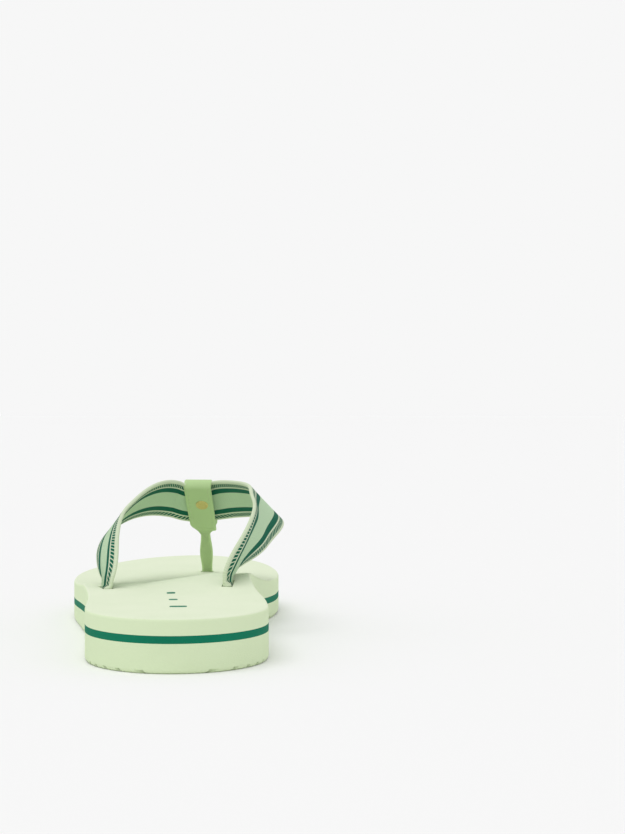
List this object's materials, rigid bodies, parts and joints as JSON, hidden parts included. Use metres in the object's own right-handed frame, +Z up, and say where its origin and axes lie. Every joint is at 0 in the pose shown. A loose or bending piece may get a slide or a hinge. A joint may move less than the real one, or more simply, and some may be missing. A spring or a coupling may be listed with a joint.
{
  "type": "flip flop",
  "caption": "Left flip flop: layered foam sole with a green middle stripe, woven webbing straps, a toe wrap with a round rivet and a flat toe post.",
  "frame": {"origin": "on the floor, at the middle of the box round the whole shoe", "axes": "+Y from heel to toe, +X to the big-toe side, +Z up"},
  "size_m": [0.093, 0.2606, 0.0635],
  "materials": {
    "pale_foam": "matt EVA foam",
    "green_foam": "matt EVA foam, dark green",
    "tread_foam": "matt foam rubber with cut tread",
    "green_print": "inlaid dark green",
    "webbing": "woven polyester webbing",
    "wrap_cloth": "smooth sewn cloth",
    "thread": "sewing thread",
    "gold_metal": "satin gold plating",
    "plug_rubber": "moulded rubber"
  },
  "bodies": {
    "sole": {"footbed": "pale_foam", "midsole": "green_foam", "outsole": "tread_foam", "heel_marks": "green_print", "outer_plug": "plug_rubber", "inner_plug": "plug_rubber", "toe_plug": "plug_rubber", "strap_root_outer": "webbing", "strap_root_inner": "webbing", "toe_post": "wrap_cloth"},
    "yoke": {"strap_outer": "webbing", "strap_inner": "webbing", "toe_wrap": "wrap_cloth", "wrap_stitches": "thread", "rivet_cap": "gold_metal", "rivet_face": "gold_metal"}
  },
  "joints": [
    {"name": "strap_fold", "type": "hinge", "parent": "sole", "child": "yoke", "pos_m": [-0.02934, -0.01983, 0.01981], "axis": [0.9902, -0.1336, 0.0401], "range_deg": [-8, 0], "stiffness_Nm_per_rad": 0.5, "springref_deg": 1.15, "deforming": ["toe_post", "strap_root_outer", "strap_root_inner"]}
  ]
}
